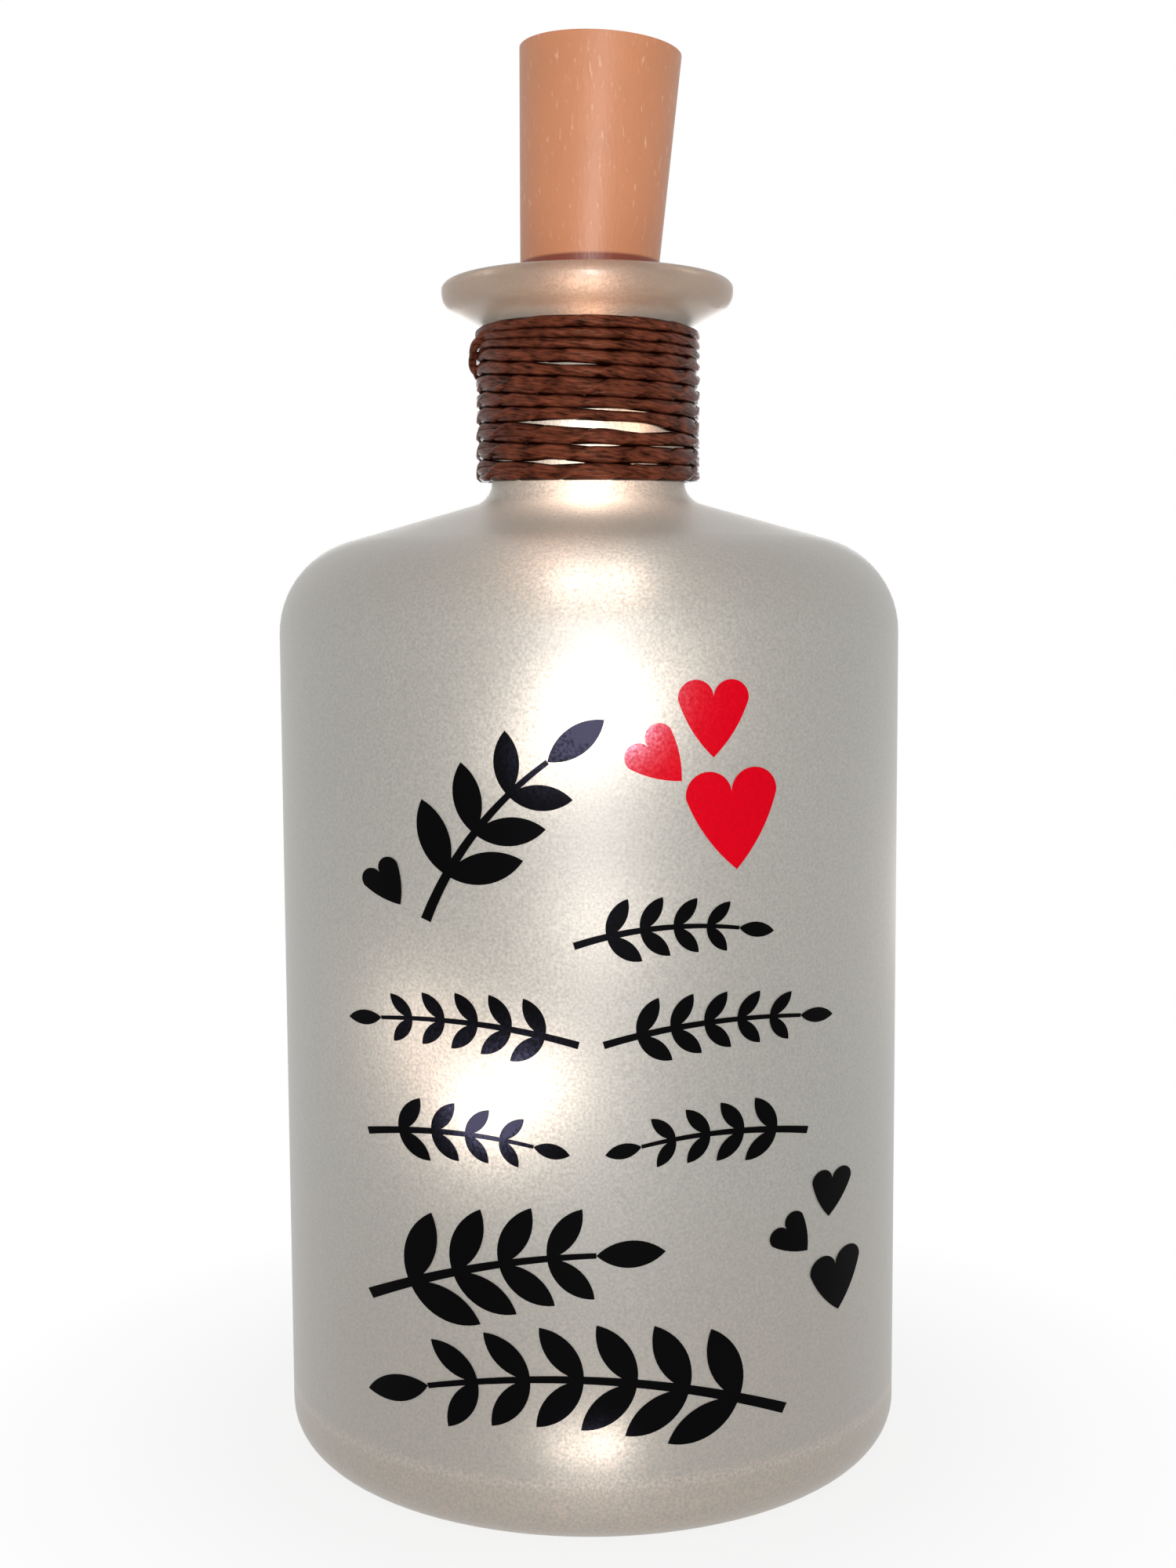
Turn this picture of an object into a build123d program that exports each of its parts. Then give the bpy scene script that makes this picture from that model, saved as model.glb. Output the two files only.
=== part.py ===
from build123d import *
from math import cos, pi, radians, sin, sqrt, tan
import os

# Bottle light: a frosted glass bottle, a cork-shaped battery stopper and a string of LEDs inside.
# Millimetres, +Z up, origin at the middle of the bottle's foot, front towards -Y.

os.makedirs("parts", exist_ok=True)

# Bottle
body_radius = 42.5
bottle_height = 159.3
shoulder_height = 121.5
shoulder_slope = radians(16.0)
shoulder_round = 13.0
neck_radius = 13.3
neck_root_round = 3.5
lip_radius = 20.0
lip_thickness = 3.5
lip_under_rise = 2.85
lip_under_round = 3.0
lip_root_round = 0.8
lip_top_round = 1.3
mouth_radius = 9.8
mouth_round = 1.0
wall = 3.5
floor_height = 9.0
floor_round = 7.0
neck_inner_round = 4.0
heel_round = 5.0
foot_ring_inner_radius = 31.0
push_up = 2.5

# Cord wound round the neck
cord_diameter = 1.4
cord_pitch = 1.84
cord_start_angle = 100.0
cord_foot_gap = 2.4
cord_lip_gap = 0.55
cord_clearance = 0.06
tuck_angle = 188.0
tuck_length = 4.4
tuck_bow = 0.35
tuck_drop = 0.9

# Vinyl films on the front
film_thickness = 0.1
film_gap = 0.02
stem_width = 1.3
stem_taper = 0.5
leaf_length = 10.5
leaf_width = 4.2
leaf_pitch = 8.0
twig_width = 0.9
twig_leaf_length = 5.6
twig_leaf_width = 2.3
twig_leaf_pitch = 4.8
leaf_spread = 48.0
leaf_shrink = 0.35
tip_leaf_share = 0.8

# Heart outline, as shares of its width: notch, lobe top, widest point, flank and tip
heart_notch = (0, 0.22)
heart_lobe = (0.27, 0.46)
heart_widest = (0.5, 0.18)
heart_flank = (0.33, -0.2)
heart_tip = (0, -0.62)

# Sprigs: foot, middle and tip of the stem's arc
large_sprigs = [
    ((-20, 77.5), (-13.5, 88.8), (-5, 97)),
    ((24, 15), (2, 21.5), (-20.5, 19)),
    ((-28, 29), (-14, 35), (0.5, 37.2)),
]
small_sprigs = [
    ((-2, 75), (8, 77), (18, 76.5)),
    ((-1.5, 63), (-14, 65.2), (-26, 64.7)),
    ((1.5, 63), (14, 65.2), (26, 64.7)),
    ((-28, 50), (-17.5, 51.5), (-7, 50.5)),
    ((27, 50), (16.5, 51.5), (6, 50.5)),
]

# Hearts: middle, lean in degrees, width
black_hearts = [
    ((-25.2, 81.8), 36, 5.4),
    ((30.4, 41.5), -6, 5.6),
    ((25, 37), 40, 5.2),
    ((31.2, 29.8), 4, 7.2),
]
red_hearts = [
    ((14.8, 102.6), 0, 8.6),
    ((8, 97.6), 44, 6.8),
    ((17.2, 90.6), 4, 11.2),
]

# Stopper
cork_length = 47.0
cork_top_radius = 11.0
cork_foot_radius = 8.5
cork_depth = 16.3
cork_lean = radians(3.3)
cork_side_step = 0.2
cork_top_round = 0.8
cork_foot_round = 0.5
cork_bore_radius = 6.9
cork_floor = 3.0
cap_seat_radius = 9.0
cap_thickness = 2.2

# Grommet in the stopper's floor
grommet_radius = 1.6
grommet_flange_radius = 2.4
grommet_flange = 0.5
grommet_bore_radius = 0.75
grommet_clearance = 0.05

# Battery cartridge
slide_clearance = 0.25
cradle_floor = 1.2
cradle_foot_gap = 0.3
board_ledge = 1.0
board_ledge_width = 1.2
board_thickness = 1.0
resistor_offset = 2.6
board_clearance = 0.2
spring_height = 5.4
spring_wire = 0.5
spring_foot_radius = 4.2
spring_tip_radius = 2.4
spring_turns = 3.0
cell_radius = 5.8
cell_height = 5.4
cell_count = 3
cell_can_height = 4.9
cell_cap_radius = 4.7
cell_seal_width = 0.45
cell_cup_depth = 1.1
cell_seal_lift = 0.3
cell_seal_clearance = 0.03
cell_clearance = 0.15
contact_thickness = 0.4
contact_radius = 5.0
roof = 1.2
roof_hole_radius = 3.2
strip_width = 2.0
strip_thickness = 0.3
strip_clearance = 0.05
strip_tab_rise = 0.3
resistor_length = 3.2
resistor_width = 1.6
resistor_height = 0.6
lead_spacing = 0.6
lead_diameter = 0.4

# Slide switch under the cap
switch_length = 8.6
switch_width = 3.6
switch_height = 4.0
switch_wall = 0.6
switch_travel = 2.0
knob_length = 1.6
knob_width = 1.5
knob_recess = 0.4
knob_clearance = 0.2
knob_foot_length = 3.2
knob_foot_height = 1.2
knob_seat_gap = 0.1
window_margin = 0.5
terminal_count = 3
terminal_pitch = 2.5
terminal_width = 0.6
terminal_thickness = 0.3
terminal_length = 2.4
terminal_roof_gap = 0.2
nail_notch_width = 4.0
nail_notch_depth = 1.2
nail_notch_reach = 1.4

# LED string
wire_diameter = 0.6
wire_bend_rise = 9.5
led_count = 10
led_first = 12.0
led_spacing = 100.0
bead_length = 5.0
bead_radius = 1.35
bead_tip_radius = 0.85
bead_bore_clearance = 0.25
chip_length = 1.0
chip_width = 0.5
chip_height = 0.3
chip_clearance = 0.06
least_turn_gap = 0.4

# Loops of the string: angle along the string, and each loop's middle in x and y, radius and height
loop_angles = [0, 298, 644, 963, 1194, 1434, 1676, 2039, 2234, 2428, 2454]
string_loops = [
    (-11.5, 8.0, 10.0, 114.5),
    (3.0, -11.5, 18.5, 110.0),
    (0.5, -17.0, 14.0, 104.5),
    (3.5, -10.5, 21.5, 96.5),
    (3.0, 0.0, 24.0, 87.0),
    (1.5, 1.5, 24.0, 76.0),
    (-11.0, -12.0, 17.5, 64.5),
    (-5.5, -18.5, 14.5, 53.5),
    (4.5, 0.0, 32.0, 33.0),
    (1.5, -14.0, 18.5, 11.0),
    (1.5, -14.0, 18.5, 10.65),
]
station_turn = 90.0
way_step = 0.01
turn_measures = 40
wire_measures = 900
bead_skip = 12.0


def biarc(start, start_way, end, end_way):
    """Draw two arcs that meet smoothly, from one point and direction to another."""
    chord = end - start
    ways = start_way + end_way
    spread = 2 * (1 - start_way.dot(end_way))
    along = chord.dot(ways)
    reach = (sqrt(along**2 + spread * chord.dot(chord)) - along) / spread
    near = start + start_way * reach
    far = end - end_way * reach
    middle = (near + far) / 2
    TangentArc(start, middle, tangent=start_way)
    TangentArc(middle, end, tangent=far - near)


def least_gap(points, skip, diameter):
    """Measure the least clear gap of a tube to itself, leaving out neighbours along it."""
    pairs = ((a, b) for i, a in enumerate(points) for b in points[i + skip:])
    return min((a - b).length for a, b in pairs) - diameter


def smooth_step(share):
    """Ease a share from 0 to 1."""
    return share * share * (3 - 2 * share)


# Bottle: outer outline from the foot to the mouth, then the inside back down to the floor
wall_rise = wall / cos(shoulder_slope)
inner_radius = body_radius - wall
neck_root_height = shoulder_height + (body_radius - neck_radius) * tan(shoulder_slope)
lip_edge_height = bottle_height - lip_thickness
lip_root_height = lip_edge_height - lip_under_rise
inner_shoulder_height = shoulder_height + wall * tan(shoulder_slope) - wall_rise
inner_neck_height = shoulder_height + (body_radius - mouth_radius) * tan(shoulder_slope) - wall_rise

with BuildPart() as glass_bottle:
    with BuildSketch(Plane.XZ):
        with BuildLine():
            TangentArc((0, push_up), (foot_ring_inner_radius, 0), tangent=(1, 0))
            FilletPolyline(
                (foot_ring_inner_radius, 0),
                (body_radius, 0),
                (body_radius, shoulder_height),
                (neck_radius, neck_root_height),
                (neck_radius, lip_root_height),
                (lip_radius, lip_edge_height),
                (lip_radius, bottle_height),
                (mouth_radius, bottle_height),
                (mouth_radius, inner_neck_height),
                (inner_radius, inner_shoulder_height),
                (inner_radius, floor_height),
                (0, floor_height),
                radius=[
                    heel_round,
                    shoulder_round,
                    neck_root_round,
                    lip_root_round,
                    lip_under_round,
                    lip_top_round,
                    mouth_round,
                    neck_inner_round,
                    shoulder_round - wall,
                    floor_round,
                ],
            )
            Line((0, floor_height), (0, push_up))
        make_face()
    revolve(axis=Axis.Z)
glass_bottle.part.label = "glass_bottle"
export_step(glass_bottle.part, "parts/glass_bottle.step")

# Cord: one helix on the neck, its two ends running straight on at the back
cord_radius = cord_diameter / 2
winding_radius = neck_radius + cord_clearance + cord_radius
winding_foot = neck_root_height + cord_foot_gap
winding_top = lip_root_height - cord_lip_gap
cord_turns = (winding_top - winding_foot) / cord_pitch


def winding_point(turn):
    """Return the winding's middle line after a number of turns, clockwise as it rises."""
    angle = radians(cord_start_angle - turn * 360)
    return Vector(winding_radius * cos(angle), winding_radius * sin(angle), winding_foot + turn * cord_pitch)


def winding_way(turn):
    """Return the winding's direction after a number of turns."""
    angle = radians(cord_start_angle - turn * 360)
    run = 2 * pi * winding_radius
    return Vector(run * sin(angle), -run * cos(angle), cord_pitch).normalized()


winding_spans = round(cord_turns * 2)
winding_stops = [cord_turns * i / winding_spans for i in range(winding_spans + 1)]
cord_start = winding_point(0) - winding_way(0) * cord_diameter
cord_end = winding_point(cord_turns) + winding_way(cord_turns) * cord_diameter

with BuildPart() as neck_cord:
    with BuildLine() as cord_route:
        Line(cord_start, winding_point(0))
        for near, far in zip(winding_stops, winding_stops[1:]):
            biarc(winding_point(near), winding_way(near), winding_point(far), winding_way(far))
        Line(winding_point(cord_turns), cord_end)
    with BuildSketch(Plane(cord_start, z_dir=winding_way(0))):
        Circle(cord_radius)
    sweep(path=cord_route.wire())
neck_cord.part.label = "neck_cord"
export_step(neck_cord.part, "parts/neck_cord.step")

cord_points = [winding_point(i / turn_measures) for i in range(int(cord_turns * turn_measures) + 1)]
cord_gap = least_gap(cord_points, turn_measures // 2, cord_diameter)
print("neck cord: least gap", round(cord_gap, 3), "over", least_turn_gap, cord_gap > least_turn_gap)

# The cord's tucked end: a short strand that crosses the upper turns at the left
tuck_way = Vector(cos(radians(tuck_angle)), sin(radians(tuck_angle)), 0)
tuck_radius = winding_radius + cord_diameter + cord_clearance
tuck_top = winding_top - tuck_drop
tuck_middle = tuck_way * (tuck_radius + tuck_bow) + Vector(0, 0, tuck_top - tuck_length / 2)
tuck_start = tuck_way * tuck_radius + Vector(0, 0, tuck_top)
tuck_end = tuck_way * tuck_radius + Vector(0, 0, tuck_top - tuck_length)

with BuildPart() as cord_tuck:
    with BuildLine() as tuck_route:
        ThreePointArc(tuck_start, tuck_middle, tuck_end)
    with BuildSketch(Plane(tuck_start, z_dir=tuck_route.line % 0)):
        Circle(cord_radius)
    sweep(path=tuck_route.wire())
cord_tuck.part.label = "cord_tuck"
export_step(cord_tuck.part, "parts/cord_tuck.step")

# Vinyl films: flat shapes drawn as seen from the front, cut to a thin curved film on the glass
film_plane = Plane(origin=(0, 0, 0), x_dir=(1, 0, 0), z_dir=(0, -1, 0))
film_inner_radius = body_radius + film_gap
film_outer_radius = film_inner_radius + film_thickness

with BuildPart() as film_sleeve:
    with BuildSketch(Plane.XY):
        Circle(film_outer_radius)
        Circle(film_inner_radius, mode=Mode.SUBTRACT)
    extrude(amount=bottle_height)


def way_of(angle):
    """Return the flat direction at an angle in degrees."""
    return Vector(cos(radians(angle)), sin(radians(angle)))


def leaf(foot, angle, length, width):
    """Draw a pointed leaf from its foot, along an angle in degrees."""
    along = way_of(angle) * length
    across = way_of(angle + 90) * (width / 2)
    tip = foot + along
    middle = foot + along / 2
    with BuildLine() as outline:
        ThreePointArc(foot, middle + across, tip)
        ThreePointArc(tip, middle - across, foot)
    make_face(outline.edges())


def sprig(foot, middle, tip, width, leaf_size, pitch):
    """Draw a tapering stem along an arc, with leaves in pairs and one at its tip."""
    with BuildLine():
        stem = ThreePointArc(foot, middle, tip)
    sides = []
    for share in (0, 0.5, 1):
        side = way_of(stem.tangent_angle_at(share) + 90) * (width / 2 * (1 - stem_taper * share))
        sides.append((stem @ share, side))
    with BuildLine() as outline:
        left = ThreePointArc(*(point + side for point, side in sides))
        right = ThreePointArc(*(point - side for point, side in sides))
        Line(left @ 0, right @ 0)
        Line(left @ 1, right @ 1)
    make_face(outline.edges())
    length, breadth = leaf_size
    steps = round(stem.length / pitch) + 1
    for i in range(1, steps):
        share = i / steps
        scale = 1 - leaf_shrink * share
        for spread in (-leaf_spread, leaf_spread):
            leaf(stem @ share, stem.tangent_angle_at(share) + spread, length * scale, breadth * scale)
    leaf(stem @ 1, stem.tangent_angle_at(1), length * tip_leaf_share, breadth * tip_leaf_share)


def heart(middle, angle, width):
    """Draw a plain heart about its middle, turned by an angle in degrees."""
    across = way_of(angle) * width
    up = way_of(angle + 90) * width
    with BuildLine() as outline:
        for side in (-1, 1):
            points = (Vector(middle) + across * (side * x) + up * y for x, y in heart_shape)
            notch, lobe, widest, flank, tip = points
            ThreePointArc(notch, lobe, widest)
            ThreePointArc(widest, flank, tip)
    make_face(outline.edges())


heart_shape = (heart_notch, heart_lobe, heart_widest, heart_flank, heart_tip)
large_leaf = (leaf_length, leaf_width)
small_leaf = (twig_leaf_length, twig_leaf_width)

with BuildPart() as decal_black:
    with BuildSketch(film_plane):
        for stem in large_sprigs:
            sprig(*stem, stem_width, large_leaf, leaf_pitch)
        for twig in small_sprigs:
            sprig(*twig, twig_width, small_leaf, twig_leaf_pitch)
        for spot in black_hearts:
            heart(*spot)
    extrude(amount=film_outer_radius)
    add(film_sleeve.part, mode=Mode.INTERSECT)
decal_black.part.label = "decal_black"
export_step(decal_black.part, "parts/decal_black.step")

with BuildPart() as decal_red:
    with BuildSketch(film_plane):
        for spot in red_hearts:
            heart(*spot)
    extrude(amount=film_outer_radius)
    add(film_sleeve.part, mode=Mode.INTERSECT)
decal_red.part.label = "decal_red"
export_step(decal_red.part, "parts/decal_red.step")

# Stopper: its own leaning frame, with heights counted from its foot
cork_axis = Vector(sin(cork_lean), 0, cos(cork_lean))
cork_across = Vector(cos(cork_lean), 0, -sin(cork_lean))
cork_foot = Vector(cork_side_step, 0, bottle_height) - cork_axis * cork_depth
cork_line = Axis(cork_foot, cork_axis)
cork_section = Plane(cork_foot, x_dir=cork_across, z_dir=(0, -1, 0))
cap_seat = cork_length - cap_thickness


def cork_level(height):
    """Return the plane across the stopper at a height above its foot."""
    return Plane(cork_foot + cork_axis * height, x_dir=cork_across, z_dir=cork_axis)


grommet_hole_radius = grommet_radius + grommet_clearance

with BuildPart() as cork_shell:
    with BuildSketch(cork_section):
        with BuildLine():
            FilletPolyline(
                (grommet_hole_radius, 0),
                (cork_foot_radius, 0),
                (cork_top_radius, cork_length),
                (cap_seat_radius, cork_length),
                (cap_seat_radius, cap_seat),
                (cork_bore_radius, cap_seat),
                (cork_bore_radius, cork_floor),
                (grommet_hole_radius, cork_floor),
                radius=[cork_foot_round, cork_top_round, 0, 0, 0, 0, 0, 0],
                close=True,
            )
        make_face()
    revolve(axis=cork_line)
cork_shell.part.label = "cork_shell"
export_step(cork_shell.part, "parts/cork_shell.step")

# Grommet: a flanged sleeve in the floor's hole
with BuildPart() as wire_grommet:
    with BuildSketch(cork_section):
        with BuildLine():
            Polyline(
                (grommet_bore_radius, 0),
                (grommet_radius, 0),
                (grommet_radius, cork_floor),
                (grommet_flange_radius, cork_floor),
                (grommet_flange_radius, cork_floor + grommet_flange),
                (grommet_bore_radius, cork_floor + grommet_flange),
                close=True,
            )
        make_face()
    revolve(axis=cork_line)
wire_grommet.part.label = "wire_grommet"
export_step(wire_grommet.part, "parts/wire_grommet.step")

# Cradle: a tube with a roof, a side window to the cells, a board ledge and, below it, room for the joints
# Heights are counted down from the switch
cradle_radius = cork_bore_radius - slide_clearance
bay_radius = cell_radius + cell_clearance
cradle_foot = cork_floor + grommet_flange + cradle_foot_gap
chamber_foot = cradle_foot + cradle_floor
switch_foot = cap_seat - switch_height
terminal_foot = switch_foot - terminal_length
roof_top = terminal_foot - terminal_roof_gap
contact_top = roof_top - roof
cells_top = contact_top - contact_thickness
cells_foot = cells_top - cell_count * cell_height
board_top = cells_foot - spring_height
board_foot = board_top - board_thickness
ledge_foot = board_foot - board_ledge
board_radius = bay_radius - board_clearance
strip_outer = cradle_radius - strip_clearance
strip_inner = strip_outer - strip_thickness
strip_foot = board_foot + (board_thickness - strip_thickness) / 2
strip_tab = terminal_foot + strip_tab_rise
lead_hole_radius = grommet_bore_radius

with BuildPart() as battery_cradle:
    with BuildSketch(cork_section):
        with BuildLine():
            Polyline(
                (lead_hole_radius, cradle_foot),
                (cradle_radius, cradle_foot),
                (cradle_radius, cap_seat),
                (bay_radius, cap_seat),
                (bay_radius, roof_top),
                (roof_hole_radius, roof_top),
                (roof_hole_radius, contact_top),
                (bay_radius, contact_top),
                (bay_radius, board_foot),
                (bay_radius - board_ledge_width, board_foot),
                (bay_radius - board_ledge_width, ledge_foot),
                (bay_radius, ledge_foot),
                (bay_radius, chamber_foot),
                (lead_hole_radius, chamber_foot),
                close=True,
            )
        make_face()
    revolve(axis=cork_line)
    with BuildSketch(cork_level(board_top)):
        with Locations((0, cradle_radius)):
            Rectangle(2 * bay_radius, 2 * cradle_radius)
    extrude(amount=contact_top - board_top, mode=Mode.SUBTRACT)
    with BuildSketch(cork_level(ledge_foot)):
        with Locations((0, -cradle_radius)):
            Rectangle(strip_width + 2 * strip_clearance, 2 * (cradle_radius - strip_inner + strip_clearance))
    extrude(amount=cap_seat - ledge_foot, mode=Mode.SUBTRACT)
    for tab_foot in (strip_foot, strip_tab):
        with BuildSketch(cork_level(tab_foot - strip_clearance)):
            with Locations((0, -cradle_radius)):
                Rectangle(strip_width + 2 * strip_clearance, 2 * (cradle_radius - board_radius))
        extrude(amount=strip_thickness + 2 * strip_clearance, mode=Mode.SUBTRACT)
battery_cradle.part.label = "battery_cradle"
export_step(battery_cradle.part, "parts/battery_cradle.step")

# Cap: closes the stopper's top, with the switch's window and two notches for a fingernail
cap_radius = cap_seat_radius - slide_clearance
slot_length = knob_length + switch_travel + 2 * knob_clearance
slot_width = knob_width + 2 * knob_clearance

with BuildPart() as cartridge_cap:
    with BuildSketch(cork_level(cap_seat)):
        Circle(cap_radius)
        Rectangle(slot_length + 2 * window_margin, slot_width + 2 * window_margin, mode=Mode.SUBTRACT)
    extrude(amount=cap_thickness)
    with BuildSketch(cork_level(cork_length - nail_notch_depth)):
        with Locations((0, cap_radius), (0, -cap_radius)):
            Rectangle(nail_notch_width, 2 * nail_notch_reach)
    extrude(amount=nail_notch_depth, mode=Mode.SUBTRACT)
cartridge_cap.part.label = "cartridge_cap"
export_step(cartridge_cap.part, "parts/cartridge_cap.step")

# Circuit board with its resistor, and the string's two leads up to it
with BuildPart() as circuit_board:
    with BuildSketch(cork_level(board_foot)):
        Circle(board_radius)
    extrude(amount=board_thickness)
circuit_board.part.label = "circuit_board"
export_step(circuit_board.part, "parts/circuit_board.step")

with BuildPart() as resistor:
    with BuildSketch(cork_level(board_foot - resistor_height)):
        with Locations((0, resistor_offset)):
            Rectangle(resistor_length, resistor_width)
    extrude(amount=resistor_height)
resistor.part.label = "resistor"
export_step(resistor.part, "parts/resistor.step")

with BuildPart() as string_leads:
    with BuildSketch(cork_level(0)):
        with GridLocations(lead_spacing, 0, 2, 1):
            Circle(lead_diameter / 2)
    extrude(amount=board_foot)
string_leads.part.label = "string_leads"
export_step(string_leads.part, "parts/string_leads.step")

# Contact spring: a cone of wire from the board up to the lowest cell
spring_radius = spring_wire / 2
spring_foot = board_top + spring_radius
spring_rise = spring_height - spring_wire


def spring_point(turn):
    """Return the spring's middle line after a number of turns."""
    share = turn / spring_turns
    reach = spring_foot_radius + (spring_tip_radius - spring_foot_radius) * share
    place = cork_across * (reach * cos(turn * 2 * pi)) + Vector(0, reach * sin(turn * 2 * pi), 0)
    return cork_foot + place + cork_axis * (spring_foot + spring_rise * share)


def spring_way(turn):
    """Return the spring's direction after a number of turns."""
    return (spring_point(turn + way_step) - spring_point(turn - way_step)).normalized()


spring_spans = round(spring_turns * 4)
spring_stops = [spring_turns * i / spring_spans for i in range(spring_spans + 1)]

with BuildPart() as contact_spring:
    with BuildLine() as spring_route:
        for near, far in zip(spring_stops, spring_stops[1:]):
            biarc(spring_point(near), spring_way(near), spring_point(far), spring_way(far))
    with BuildSketch(Plane(spring_point(0), z_dir=spring_way(0))):
        Circle(spring_radius)
    sweep(path=spring_route.wire())
contact_spring.part.label = "contact_spring"
export_step(contact_spring.part, "parts/contact_spring.step")

# Button cells: can, sealing ring and cap, with the cap down
cell_step = cell_height - cell_can_height
cell_cup = cell_step + cell_cup_depth
seal_inner_radius = cell_cap_radius + cell_seal_clearance
seal_outer_radius = seal_inner_radius + cell_seal_width
cup_radius = seal_outer_radius + cell_seal_clearance


for number in range(1, cell_count + 1):
    foot = cells_foot + (number - 1) * cell_height
    with BuildPart() as cell_can:
        with BuildSketch(cork_section):
            with BuildLine():
                Polyline(
                    (0, foot + cell_cup),
                    (cup_radius, foot + cell_cup),
                    (cup_radius, foot + cell_step),
                    (cell_radius, foot + cell_step),
                    (cell_radius, foot + cell_height),
                    (0, foot + cell_height),
                    close=True,
                )
            make_face()
        revolve(axis=cork_line)
    cell_can.part.label = f"cell_can_{number}"
    export_step(cell_can.part, f"parts/cell_can_{number}.step")

    with BuildPart() as cell_seal:
        with BuildSketch(cork_level(foot + cell_seal_lift)):
            Circle(seal_outer_radius)
            Circle(seal_inner_radius, mode=Mode.SUBTRACT)
        extrude(amount=cell_cup - cell_seal_lift)
    cell_seal.part.label = f"cell_seal_{number}"
    export_step(cell_seal.part, f"parts/cell_seal_{number}.step")

    with BuildPart() as cell_cap:
        with BuildSketch(cork_level(foot)):
            Circle(cell_cap_radius)
        extrude(amount=cell_cup)
    cell_cap.part.label = f"cell_cap_{number}"
    export_step(cell_cap.part, f"parts/cell_cap_{number}.step")

# Positive contact: a plate under the roof, with a riser to one switch terminal
with BuildPart() as positive_contact:
    with BuildSketch(cork_level(cells_top)):
        Circle(contact_radius)
    extrude(amount=contact_thickness)
    with BuildSketch(cork_level(contact_top)):
        with Locations((terminal_pitch, 0)):
            Rectangle(terminal_width, terminal_thickness)
    extrude(amount=terminal_foot - contact_top)
positive_contact.part.label = "positive_contact"
export_step(positive_contact.part, "parts/positive_contact.step")

# Return strip: from the board's edge, up beside the cells, to the middle terminal
strip_section = Plane(cork_foot, x_dir=(0, -1, 0), z_dir=-cork_across)

with BuildPart() as return_strip:
    with BuildSketch(strip_section):
        with BuildLine():
            Polyline(
                (board_radius + strip_clearance, strip_foot),
                (strip_outer, strip_foot),
                (strip_outer, strip_tab + strip_thickness),
                (terminal_thickness / 2, strip_tab + strip_thickness),
                (terminal_thickness / 2, strip_tab),
                (strip_inner, strip_tab),
                (strip_inner, strip_foot + strip_thickness),
                (board_radius + strip_clearance, strip_foot + strip_thickness),
                close=True,
            )
        make_face()
    extrude(amount=strip_width / 2, both=True)
return_strip.part.label = "return_strip"
export_step(return_strip.part, "parts/return_strip.step")

# Slide switch: hollow housing, three terminals and the knob, which stands at the lit end
cavity_length = switch_length - 2 * switch_wall
cavity_width = switch_width - 2 * switch_wall
cavity_top = cap_seat - switch_wall
knob_place = switch_travel / 2
knob_foot_top = cavity_top - knob_seat_gap
knob_top = cork_length - knob_recess

with BuildPart() as switch_housing:
    with BuildSketch(cork_level(switch_foot)):
        Rectangle(switch_length, switch_width)
    extrude(amount=switch_height)
    with BuildSketch(cork_level(switch_foot + switch_wall)):
        Rectangle(cavity_length, cavity_width)
    extrude(amount=switch_height - 2 * switch_wall, mode=Mode.SUBTRACT)
    with BuildSketch(cork_level(cavity_top)):
        Rectangle(slot_length, slot_width)
    extrude(amount=switch_wall, mode=Mode.SUBTRACT)
switch_housing.part.label = "switch_housing"
export_step(switch_housing.part, "parts/switch_housing.step")

with BuildPart() as switch_terminals:
    with BuildSketch(cork_level(terminal_foot)):
        with GridLocations(terminal_pitch, 0, terminal_count, 1):
            Rectangle(terminal_width, terminal_thickness)
    extrude(amount=terminal_length)
switch_terminals.part.label = "switch_terminals"
export_step(switch_terminals.part, "parts/switch_terminals.step")

with BuildPart() as switch_knob:
    with BuildSketch(cork_level(knob_foot_top - knob_foot_height)):
        with Locations((knob_place, 0)):
            Rectangle(knob_foot_length, cavity_width - 2 * knob_clearance)
    extrude(amount=knob_foot_height)
    with BuildSketch(cork_level(knob_foot_top)):
        with Locations((knob_place, 0)):
            Rectangle(knob_length, knob_width)
    extrude(amount=knob_top - knob_foot_top)
switch_knob.part.label = "switch_knob"
export_step(switch_knob.part, "parts/switch_knob.step")

# LED string: straight down out of the grommet, then loose loops that come to rest on the floor
wire_radius = wire_diameter / 2
wire_bend_height = string_loops[0][3] + wire_bend_rise
wire_bend = cork_foot - cork_axis * ((cork_foot.Z - wire_bend_height) / cork_axis.Z)


def string_point(angle):
    """Return the string's middle line at an angle along its loops."""
    for near, far, start, end in zip(string_loops, string_loops[1:], loop_angles, loop_angles[1:]):
        if angle <= end or end == loop_angles[-1]:
            share = (angle - start) / (end - start)
            ease = smooth_step(share)
            middle_x, middle_y, reach = (a + (b - a) * ease for a, b in zip(near[:3], far[:3]))
            height = near[3] + (far[3] - near[3]) * share
            turn = radians(angle)
            return Vector(middle_x + reach * cos(turn), middle_y + reach * sin(turn), height)


def string_way(angle):
    """Return the string's direction at an angle along its loops."""
    return (string_point(angle + way_step) - string_point(angle - way_step)).normalized()


string_start = loop_angles[0]
string_turn = loop_angles[-1] - string_start
string_spans = round(string_turn / station_turn)
string_stops = [string_start + string_turn * i / string_spans for i in range(string_spans + 1)]

with BuildPart() as light_wire:
    with BuildLine() as wire_route:
        Line(cork_foot, wire_bend)
        biarc(wire_bend, -cork_axis, string_point(string_start), string_way(string_start))
        for near, far in zip(string_stops, string_stops[1:]):
            biarc(string_point(near), string_way(near), string_point(far), string_way(far))
    with BuildSketch(Plane(cork_foot, z_dir=-cork_axis)):
        Circle(wire_radius)
    sweep(path=wire_route.wire())
light_wire.part.label = "light_wire"
export_step(light_wire.part, "parts/light_wire.step")

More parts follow.
